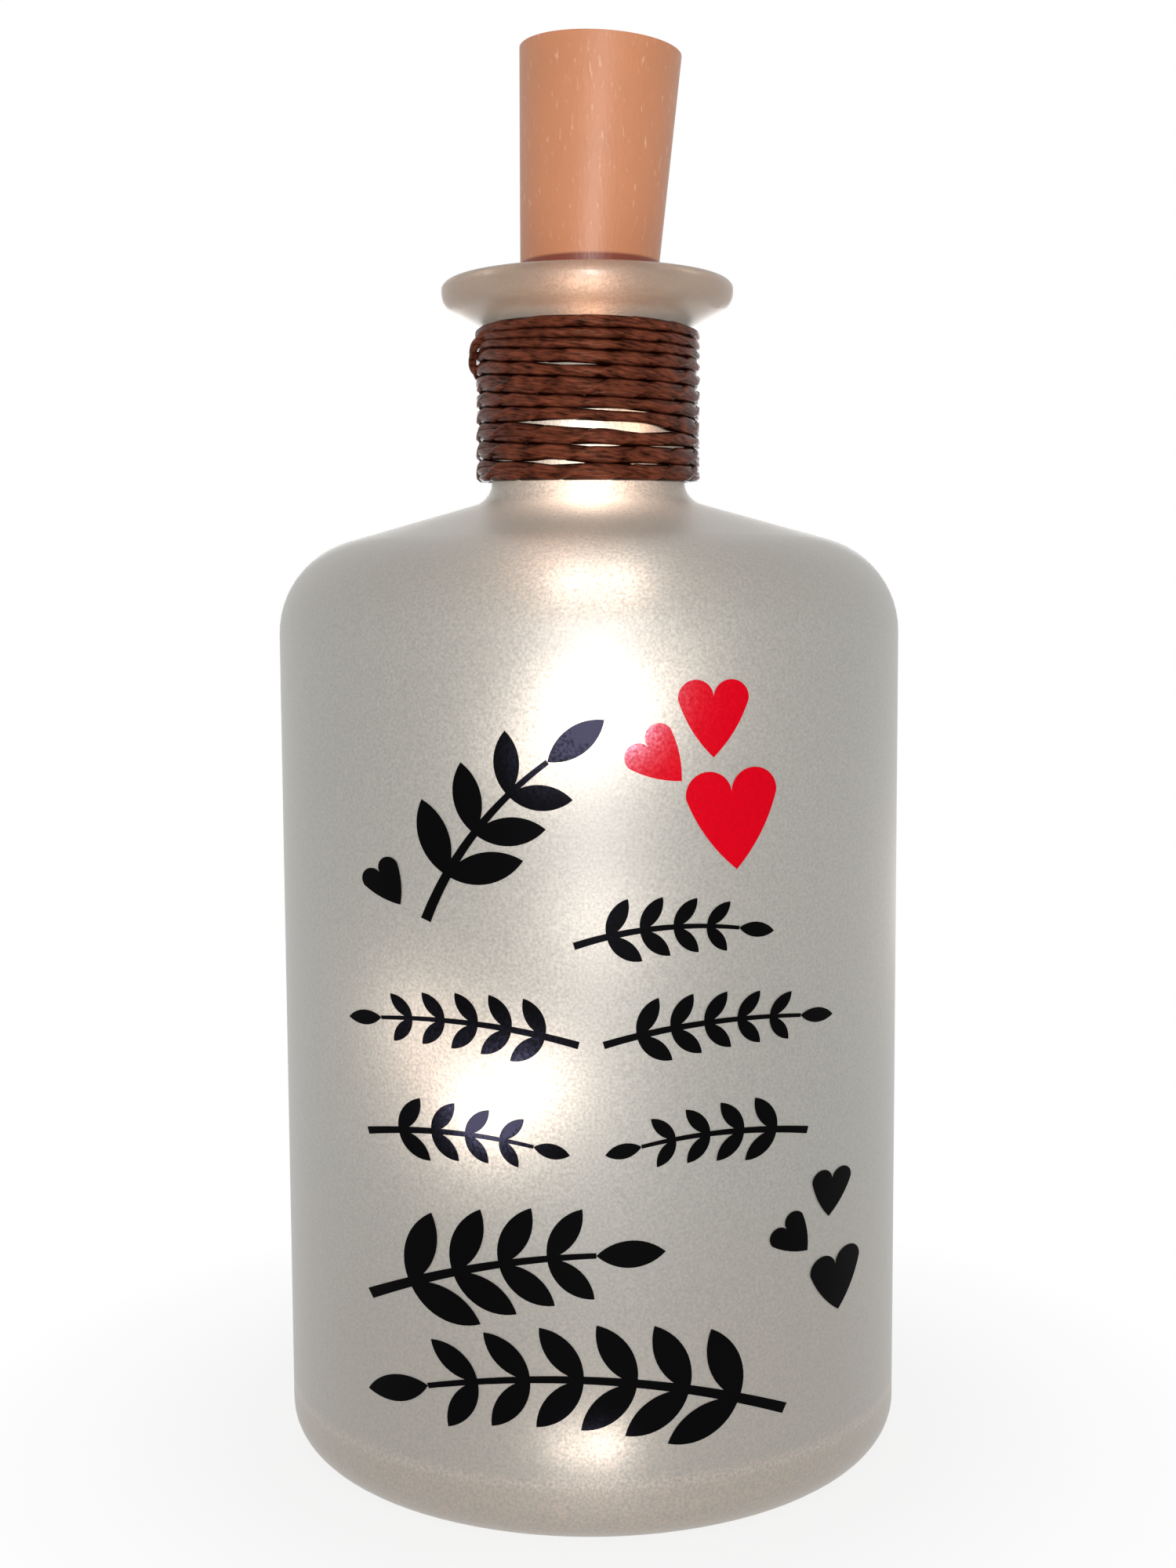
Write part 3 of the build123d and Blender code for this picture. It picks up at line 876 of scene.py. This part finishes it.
@dataclass
class Bottle:
    """The glass with its films, lit from inside."""

    glow: Glow
    amber: Glow
    base_height: float = 9 * MM

    def dress(self) -> None:
        """Give the glass and the films their finishes."""
        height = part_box("glass_bottle")[1].z
        glass = FrostedGlass("frosted glass", self.glow, self.amber, height, self.base_height)
        dress(glass, "glass_bottle")
        black = CutFilm("black film", self.glow, paint(2, 2, 3), paint(82, 80, 104))
        dress(black, "decal_black")
        red = CutFilm("red film", self.glow, paint(212, 2, 26), (0.9, 0.95, 1.2))
        dress(red, "decal_red")


@dataclass(frozen=True)
class Opening:
    """Where turns stand apart: the seam, the angle and the reach in degrees, and the width in millimetres."""

    seam: int
    angle: float
    reach: float
    width: float

    def width_at(self, angle: float) -> float:
        """Find how far the turns stand apart at an angle."""
        return self.width * smooth_step(max(1 - abs(angle - self.angle) / self.reach, 0.0))


@dataclass
class NeckWinding:
    """The waxed cord round the neck, wound by hand and pressed flat, and its tucked end.

    A seam is the line where two turns meet. Its heights are millimetres at the right, the middle and the left
    of the front, and it runs in a bow through them. Both ends of the cord go in under the turn next to them.
    """

    neck_radius: float = 13.3 * MM
    plies: int = 3
    ply_radius: float = 0.58 * MM
    lay_depth: float = 0.2 * MM
    depth_share: float = 1.38
    twists: float = 4.7
    core_share: float = 1.25
    press: float = 0.06 * MM
    start_angle: float = 100.0
    turn_points: int = 24
    point_steps: int = 4
    roundness: int = 2
    turns: float = 10.94
    front_middle: float = -90.0
    front_reach: float = 70.0
    front_steps: int = 14
    seams: tuple[tuple[float, float, float], ...] = (
        (132.1, 131.8, 132.3),
        (134.3, 134.0, 135.2),
        (136.7, 136.3, 137.7),
        (138.3, 139.0, 140.1),
        (140.6, 141.0, 142.2),
        (142.7, 142.6, 144.3),
        (144.9, 145.0, 146.6),
        (147.0, 146.7, 148.4),
        (148.7, 148.6, 150.1),
        (150.0, 150.0, 151.2),
        (151.4, 151.4, 151.8),
        (152.7, 153.0, 153.1),
    )
    openings: tuple[Opening, ...] = (
        Opening(1, -57, 14, 0.25),
        Opening(1, -108, 18, 0.8),
        Opening(1, -142, 12, 0.3),
        Opening(2, -38, 26, 0.32),
        Opening(2, -85, 14, 0.45),
        Opening(3, -60, 26, 1.25),
        Opening(3, -94, 44, 1.05),
        Opening(4, -74, 26, 0.42),
        Opening(7, -100, 18, 0.4),
    )
    start_edges: tuple[float, float] = (133.6, 135.5)
    end_edges: tuple[float, float] = (151.2, 152.2)
    tuck_route: tuple[tuple[float, float, float], ...] = (
        (216, 14.4, 152.2),
        (206, 15.1, 152.0),
        (197, 15.7, 151.0),
        (190, 15.9, 149.6),
        (185, 15.8, 148.2),
        (179, 15.2, 146.9),
        (172, 14.4, 146.1),
    )
    tuck_steps: int = 8
    tuck_ply_share: float = 0.6
    tuck_lay_share: float = 0.45
    tuck_pitch: float = 12 * MM

    @cached_property
    def finish(self) -> Finish:
        """The cord's wax brown."""
        return Waxed("waxed cord", paint(22, 2, 0), paint(122, 64, 45))

    def seam_side(self, seam: int, share: float, side: float) -> float:
        """Find the height of a turn's edge at a seam.

        Args:
            seam: The seam's number from the lowest.
            share: The place across the front, from 1 at its right to -1 at its left.
            side: 0.5 for the turn above the seam, or -0.5 for the turn below it.

        Returns:
            The height, in millimetres.
        """
        right, middle, left = self.seams[seam]
        bow = middle + share * (right - left) / 2 + share ** 2 * ((right + left) / 2 - middle)
        angle = self.front_middle + share * self.front_reach
        return bow + side * sum(gap.width_at(angle) for gap in self.openings if gap.seam == seam)

    @cached_property
    def stations(self) -> list[tuple[float, float, float]]:
        """The turns at which the cord's edges are known.

        Returns:
            The turns, each with its lower and upper edge in millimetres.
        """
        found = [(0.0, *self.start_edges)]
        for number in range(len(self.seams) - 1):
            for step in range(self.front_steps + 1):
                share = 1 - 2 * step / self.front_steps
                turn = (self.start_angle - self.front_middle - share * self.front_reach) / 360 + number
                low = self.seam_side(number, share, 0.5)
                high = self.seam_side(number + 1, share, -0.5)
                found.append((turn, low, high))
        return found + [(self.turns, *self.end_edges)]

    def edges(self, turn: float) -> tuple[float, float]:
        """Find the cord's edges after a number of turns.

        Args:
            turn: The number of turns.

        Returns:
            The lower and the upper edge.
        """
        spans = list(zip(self.stations, self.stations[1:]))
        near, far = next((span for span in spans if turn <= span[1][0]), spans[-1])
        share = min(max((turn - near[0]) / (far[0] - near[0]), 0.0), 1.0)
        low, high = (start + (end - start) * share for start, end in zip(near[1:], far[1:]))
        return low * MM - self.press, high * MM + self.press

    def point(self, turn: float) -> Vector:
        """Find a control point of the cord, just outside its line.

        Args:
            turn: The number of turns up to it.

        Returns:
            The point.
        """
        angle = math.radians(self.start_angle) - math.tau * turn
        inset = (1 - math.cos(math.tau / self.turn_points)) / 4
        reach = (self.neck_radius + self.ply_radius + self.lay_depth) / (1 - inset)
        return Vector((reach * math.cos(angle), reach * math.sin(angle), sum(self.edges(turn)) / 2))

    def turns_along(self, line: list[Vector]) -> list[float]:
        """Count the turns at each point of the cord's line.

        Args:
            line: The cord's middle line.

        Returns:
            The number of turns up to each point.
        """
        found = [0.0]
        for point in line:
            share = (self.start_angle - math.degrees(math.atan2(point.y, point.x))) / 360
            found.append(share + round(found[-1] - share))
        return found[1:]

    def strand(self, line: list[Vector], ply: int) -> list[Vector]:
        """Lead one ply along the cord, so that the plies fill it from edge to edge.

        Args:
            line: The cord's middle line.
            ply: The ply's number.

        Returns:
            The ply's middle line.
        """
        found = []
        for point, turn in zip(line, self.turns_along(line)):
            low, high = self.edges(turn)
            angles = [math.tau * (turn * self.twists + number / self.plies) for number in range(self.plies)]
            rises = [math.cos(angle) for angle in angles]
            lift = max(high - low - 2 * self.ply_radius, 0.0) / (max(rises) - min(rises))
            level = low + self.ply_radius + lift * (rises[ply] - min(rises))
            out = point.to_2d().normalized() * (self.lay_depth * math.sin(angles[ply]))
            found.append(Vector((point.x + out.x, point.y + out.y, level)))
        return found

    def build(self) -> None:
        """Wind the cord and lay its tucked end."""
        count = round(self.turns * self.turn_points)
        points = [self.point(number / self.turn_points) for number in range(count)]
        core = spline_line(points, self.point_steps)
        strands = [core] + [self.strand(core, ply) for ply in range(self.plies)]
        wound = lay_strands("wound_cord", strands, self.ply_radius, self.roundness, self.core_share)
        self.deepen(wound)
        self.place(wound, "neck_cord")
        route = []
        for angle, reach, height in self.tuck_route:
            turn = math.radians(angle)
            route.append(Vector((reach * math.cos(turn), reach * math.sin(turn), height)) * MM)
        ply_radius = self.tuck_ply_share * self.ply_radius
        lay_radius = self.tuck_lay_share * self.ply_radius
        rope = Rope(self.plies, ply_radius, lay_radius, self.tuck_pitch, self.roundness)
        self.place(rope.lay("tucked_cord", spline_line(route, self.tuck_steps)), "cord_tuck")

    def deepen(self, piece: bpy.types.Object) -> None:
        """Stretch the winding outwards, because the pressed cord is deeper than its plies are round.

        Args:
            piece: The winding.
        """
        for vertex in piece.data.vertices:
            out = vertex.co.to_2d()
            reach = self.neck_radius + (out.length - self.neck_radius) * self.depth_share
            vertex.co.xy = out * (reach / out.length)

    def place(self, piece: bpy.types.Object, node: str) -> None:
        """Put a length of cord in a CAD node's place.

        Args:
            piece: The length of cord.
            node: The node's name.
        """
        piece.data.materials.append(self.finish.material)
        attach(piece, Body.BOTTLE.value)
        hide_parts(node)
        log.info("%s stands for %s", piece.name, node)


@dataclass
class LightString:
    """The LED string: twin wires with drops, from the stopper in loose loops down to the floor."""

    led_count: int = 10
    diameter: float = 0.6 * MM
    length: float = 0.9185
    exit_depth: float = 16.3 * MM
    side_step: float = 0.2 * MM
    lean: float = math.radians(3.3)
    bend_rise: float = 9.5
    corner_rise: float = 0.5
    step: float = 15.0
    loop_angles: tuple[float, ...] = (0, 298, 644, 963, 1194, 1434, 1676, 2039, 2234, 2428, 2454)
    loops: tuple[tuple[float, float, float, float], ...] = (
        (-11.5, 8.0, 10.0, 114.5),
        (3.0, -11.5, 18.5, 110.0),
        (0.5, -17.0, 14.0, 104.5),
        (3.5, -10.5, 21.5, 96.5),
        (3.0, 0.0, 24.0, 87.0),
        (1.5, 1.5, 24.0, 76.0),
        (-11.0, -12.0, 17.5, 64.5),
        (-5.5, -18.5, 14.5, 53.5),
        (4.5, 0.0, 32.0, 33.0),
        (1.5, -14.0, 18.5, 11.0),
        (1.5, -14.0, 18.5, 10.65),
    )
    held_above: float = 128 * MM
    loose_below: float = 115 * MM
    route_steps: int = 6
    wire_radius: float = 0.15 * MM
    wire_lay: float = 0.17 * MM
    wire_pitch: float = 7 * MM
    grommet_rise: float = 3.5 * MM
    board_rise: float = 14 * MM
    held_share: float = 0.9
    lead_radius: float = 0.2 * MM
    lead_lay: float = 0.3 * MM
    lead_spans: int = 4
    lead_steps: int = 12

    @cached_property
    def axis(self) -> Vector:
        """The stopper's leaning axis."""
        return Vector((math.sin(self.lean), 0, math.cos(self.lean)))

    @cached_property
    def exit(self) -> Vector:
        """Where the string leaves the stopper's foot."""
        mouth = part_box("glass_bottle")[1].z
        return Vector((self.side_step, 0, mouth)) - self.axis * self.exit_depth

    def loop_point(self, angle: float) -> Vector:
        """Find the string's place at an angle along its loops.

        Args:
            angle: The angle, in degrees, counted over all loops.

        Returns:
            The place, in metres.
        """
        spans = list(zip(self.loops, self.loops[1:], self.loop_angles, self.loop_angles[1:]))
        near, far, start, end = next((span for span in spans if angle <= span[3]), spans[-1])
        share = (angle - start) / (end - start)
        ease = smooth_step(share)
        middle_x, middle_y, reach = (a + (b - a) * ease for a, b in zip(near[:3], far[:3]))
        height = near[3] + (far[3] - near[3]) * share
        turn = math.radians(angle)
        return Vector((middle_x + reach * math.cos(turn), middle_y + reach * math.sin(turn), height)) * MM

    def route(self) -> list[Vector]:
        """List the string's control points: straight down, round a corner and along the loops.

        Returns:
            The control points.
        """
        top = self.loops[0][3] * MM
        corner, bend = (
            self.exit - self.axis * ((self.exit.z - top - rise * MM) / self.axis.z)
            for rise in (self.corner_rise, self.bend_rise)
        )
        last = self.loop_angles[-1]
        steps = round(last / self.step)
        return [self.exit, bend, corner] + [self.loop_point(last * i / steps) for i in range(steps + 1)]

    def build(self) -> None:
        """Lay the twin wires and the leads, and dress the drops."""
        copper = Plated("lacquered copper", paint(214, 140, 96)).material
        drops = numbered("led_bead_", 1, self.led_count, "{:02d}")
        chips = numbered("led_chip_", 1, self.led_count, "{:02d}")
        dress(Epoxy("clear drop", paint(255, 226, 178), 1.2), *drops)
        dress(Epoxy("lit chip", paint(255, 232, 170), 3.0), *chips)
        self.build_wire(copper)
        self.build_leads(copper)

    def build_wire(self, copper: bpy.types.Material) -> None:
        """Lay the twin wires that hang in the bottle.

        Args:
            copper: The wires' material.
        """
        line = spline_line(self.route(), self.route_steps)
        wire = Rope(2, self.wire_radius, self.wire_lay, self.wire_pitch).lay("twin_wire", line)
        wire.data.materials.append(copper)
        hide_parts("light_wire")
        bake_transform(wire)
        self.exit
        log.info("%s stands for light_wire", wire.name)

    def build_leads(self, copper: bpy.types.Material) -> None:
        """Lay the two leads up to the board.

        Args:
            copper: The leads' material.
        """
        rises = [self.board_rise * number / self.lead_spans for number in range(self.lead_spans + 1)]
        line = spline_line([self.exit + self.axis * rise for rise in rises], self.lead_steps)
        leads = Rope(2, self.lead_radius, self.lead_lay, 2 * self.board_rise).lay("lead_pair", line)
        leads.data.materials.append(copper)
        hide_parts("string_leads")
        self.exit + self.axis * self.grommet_rise
        self.exit + self.axis * (self.held_share * self.board_rise)
        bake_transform(leads)
        log.info("%s stands for string_leads", leads.name)


@dataclass
class Stopper:
    """The cork-shaped shell and the grommet in its floor."""

    def dress(self) -> None:
        """Give the shell and the grommet their finishes."""
        dress(CorkPlastic("cork plastic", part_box("glass_bottle")[1].z), "cork_shell")
        dress(Moulded("black rubber", paint(26, 26, 26), 0.7), "wire_grommet")


@dataclass
class Cartridge:
    """The battery cartridge that slides into the stopper."""

    cell_count: int = 3

    def dress(self) -> None:
        """Give the cartridge's pieces their finishes."""
        dress(Moulded("cradle plastic", paint(226, 222, 210)), "battery_cradle")
        dress(Moulded("cap plastic", paint(206, 142, 106)), "cartridge_cap")
        nickel = Plated("nickel", paint(205, 203, 196))
        dress(nickel, *numbered("cell_can_", 1, self.cell_count))
        dress(nickel, *numbered("cell_cap_", 1, self.cell_count), "contact_spring")
        dress(Moulded("seal", paint(96, 96, 98)), *numbered("cell_seal_", 1, self.cell_count))
        dress(Plated("contact brass", paint(214, 178, 110)), "positive_contact", "return_strip")
        dress(SolderMask("board mask", paint(16, 84, 44), paint(30, 118, 62)), "circuit_board")
        dress(Moulded("resistor body", paint(38, 38, 42), 0.25), "resistor")


@dataclass
class Switch:
    """The slide switch under the cap."""

    def dress(self) -> None:
        """Give the switch's pieces their finishes."""
        dress(Plated("switch steel", paint(188, 186, 180)), "switch_housing")
        dress(Moulded("switch plastic", paint(30, 30, 31)), "switch_knob")
        dress(Plated("tinned terminals", paint(200, 196, 186)), "switch_terminals")


@dataclass
class Studio:
    """A white floor and background, soft light from the front, and the photograph's camera."""

    floor_size: float = 6.0
    floor_drop: float = 0.1 * MM
    shadow_reach: float = 0.095
    floor_colour: Colour = (0.9, 0.9, 0.9)
    shadow_white: float = 0.8
    ambient: float = 0.45
    flash_watts: float = 1.1
    flash_size: float = 0.09
    flash_place: tuple[float, float, float] = (0.012, -0.42, 0.122)
    back_watts: float = 2.3
    back_size: float = 0.45
    back_place: tuple[float, float, float] = (0.0, 0.7, 0.06)
    camera_place: tuple[float, float, float] = (0.0, -271.34 * MM, 115.02 * MM)
    camera_pitch: float = math.radians(-5.15)
    camera_roll: float = math.radians(-0.3)
    sensor_width: float = 36.0
    lens: float = 44.67
    clip_start: float = 0.01
    shift_x: float = -0.00115

    def build(self) -> None:
        """Set up the floor, the light and the camera."""
        self.build_floor()
        self.build_world()
        self.build_lamp("flash", self.flash_watts, self.flash_size, self.flash_place)
        self.build_lamp("back light", self.back_watts, self.back_size, self.back_place)
        self.build_camera()
        bpy.context.scene.view_settings.view_transform = "Standard"

    def seen(self, wiring: Wiring) -> Value:
        """Find the rays that show the background: straight ones, and those through or off a surface.

        Args:
            wiring: The tree that gets the nodes.

        Returns:
            1 for such a ray, and 0 for any other.
        """
        rays = ("Is Camera Ray", "Is Glossy Ray", "Is Transmission Ray")
        straight, glossy, through = (wiring.node("ShaderNodeLightPath", output=ray) for ray in rays)
        return straight.math("MAXIMUM", straight, straight.math("MAXIMUM", glossy, through))

    def build_floor(self) -> None:
        """Lay the floor, which keeps the object's shadow and is white further away."""
        bpy.ops.object.select_all(action="DESELECT")
        bpy.ops.mesh.primitive_plane_add(size=self.floor_size, location=(0, 0, -self.floor_drop))
        floor = bpy.context.active_object
        floor.name = "floor"
        wiring = Wiring("white floor")
        away = wiring.distance(Vector((0, 0, 0)))
        far = wiring.spread(away, 0.5 * self.shadow_reach, self.shadow_reach)
        white = self.shadow_white + (1 - self.shadow_white) * far
        matte = wiring.node("ShaderNodeBsdfDiffuse", None, {"Color": self.floor_colour})
        bright = wiring.node("ShaderNodeEmission", None, {"Color": WHITE, "Strength": 1.0})
        sockets = {0: white * self.seen(wiring), 1: matte, 2: bright}
        wiring.end(wiring.node("ShaderNodeMixShader", None, sockets))
        floor.data.materials.append(wiring.material)

    def build_world(self) -> None:
        """Light the scene evenly, with a white background."""
        wiring = SkyWiring("studio")
        strength = self.ambient + (1 - self.ambient) * self.seen(wiring)
        sockets = {"Color": WHITE, "Strength": strength}
        wiring.end(wiring.node("ShaderNodeBackground", None, sockets))

    def build_lamp(self, name: str, watts: float, size: float, place: tuple[float, float, float]) -> None:
        """Put up a soft lamp that points at the object's middle.

        Args:
            name: The lamp's name.
            watts: Its power.
            size: The side of its square.
            place: Where it stands.
        """
        lamp = bpy.data.lights.new(name, "AREA")
        lamp.energy = watts
        lamp.size = size
        holder = bpy.data.objects.new(name, lamp)
        holder.location = place
        aim = Vector((0, 0, cad_box[1].z / 2)) - Vector(place)
        holder.rotation_euler = aim.to_track_quat("-Z", "Y").to_euler()
        bpy.context.scene.collection.objects.link(holder)

    def build_camera(self) -> None:
        """Put the camera where the photograph was taken."""
        camera = bpy.data.cameras.new("camera")
        camera.sensor_width = self.sensor_width
        camera.lens = self.lens
        camera.shift_x = self.shift_x
        camera.clip_start = self.clip_start
        holder = bpy.data.objects.new("camera", camera)
        tilt = Matrix.Rotation(math.pi / 2 + self.camera_pitch, 4, "X")
        roll = Matrix.Rotation(self.camera_roll, 4, "Z")
        holder.rotation_euler = (tilt @ roll).to_euler()
        holder.location = self.camera_place
        bpy.context.scene.collection.objects.link(holder)
        bpy.context.scene.camera = holder


def string_glow() -> Glow:
    """List the light on the wall, from the neck down, with the back's last.

    Returns:
        The glow.
    """
    return Glow((
        LightSpot((0.3, -19.8, 156.4), 0.36, 4.2, 0.38),
        LightSpot((0.2, -14.4, 130.5), 1.2, 6.2),
        LightSpot((0.3, -20.5, 127.8), 0.35, 5.0),
        LightSpot((-1.2, -13.4, 139.0), 0.9, 5.4),
        LightSpot((-1.9, -40.6, 118.4), 0.72, 4.8),
        LightSpot((3.8, -40.5, 118.5), 0.7, 5.0),
        LightSpot((10.5, -41.2, 107.0), 0.15, 7.0),
        LightSpot((2.2, -42.4, 103.2), 1.75, 6.7),
        LightSpot((-4.2, -42.2, 105.0), 0.3, 5.0),
        LightSpot((-5.3, -42.2, 97.5), 0.55, 7.2),
        LightSpot((0.5, -42.5, 78.0), 0.32, 10.0),
        LightSpot((-21.6, -36.6, 64.3), 0.3, 9.0),
        LightSpot((-7.0, -41.9, 58.5), 0.8, 7.5),
        LightSpot((-13.2, -40.4, 54.7), 1.3, 7.2),
        LightSpot((-3.2, -42.4, 13.3), 0.4, 4.4),
        LightSpot((1.4, -42.5, 13.4), 0.8, 4.2),
        LightSpot((42.5, -1.0, 76.0), 0.35, 14.0),
        LightSpot((-13.4, 40.3, 86.9), 0.35, 15.0),
        LightSpot((15.3, 39.6, 32.8), 0.9, 8.0),
        LightSpot((13.0, 40.5, 36.0), 0.25, 16.0),
        LightSpot((-33.0, 26.8, 100.0), 0.12, 18.0),
        LightSpot((0.0, 14.0, 131.0), 0.8, 6.5),
    ))


def neck_glow() -> Glow:
    """List the warmer light that comes through the lip, the neck and the shoulder, by way of the stopper.

    Returns:
        The glow.
    """
    return Glow((
        LightSpot((-0.3, -19.8, 156.5), 0.42, 5.4, 0.32),
        LightSpot((0.3, -15.3, 153.0), 0.8, 4.4, 0.5),
        LightSpot((0.3, -15.0, 130.2), 0.4, 9.0),
        LightSpot((5.8, -12.2, 138.5), 1.2, 3.6),
        LightSpot((-4.5, -37.5, 120.5), 0.2, 8.0),
        LightSpot((-19.0, -38.0, 60.0), 0.12, 9.0),
    ))


def main() -> None:
    """Build and dress every sub-assembly."""
    logging.basicConfig(level=logging.INFO, format="%(message)s")
    Studio().build()
    LightString().build()
    NeckWinding().build()
    Bottle(string_glow(), neck_glow()).dress()
    Stopper().dress()
    Cartridge().dress()
    Switch().dress()


if __name__ == "__main__":
    main()
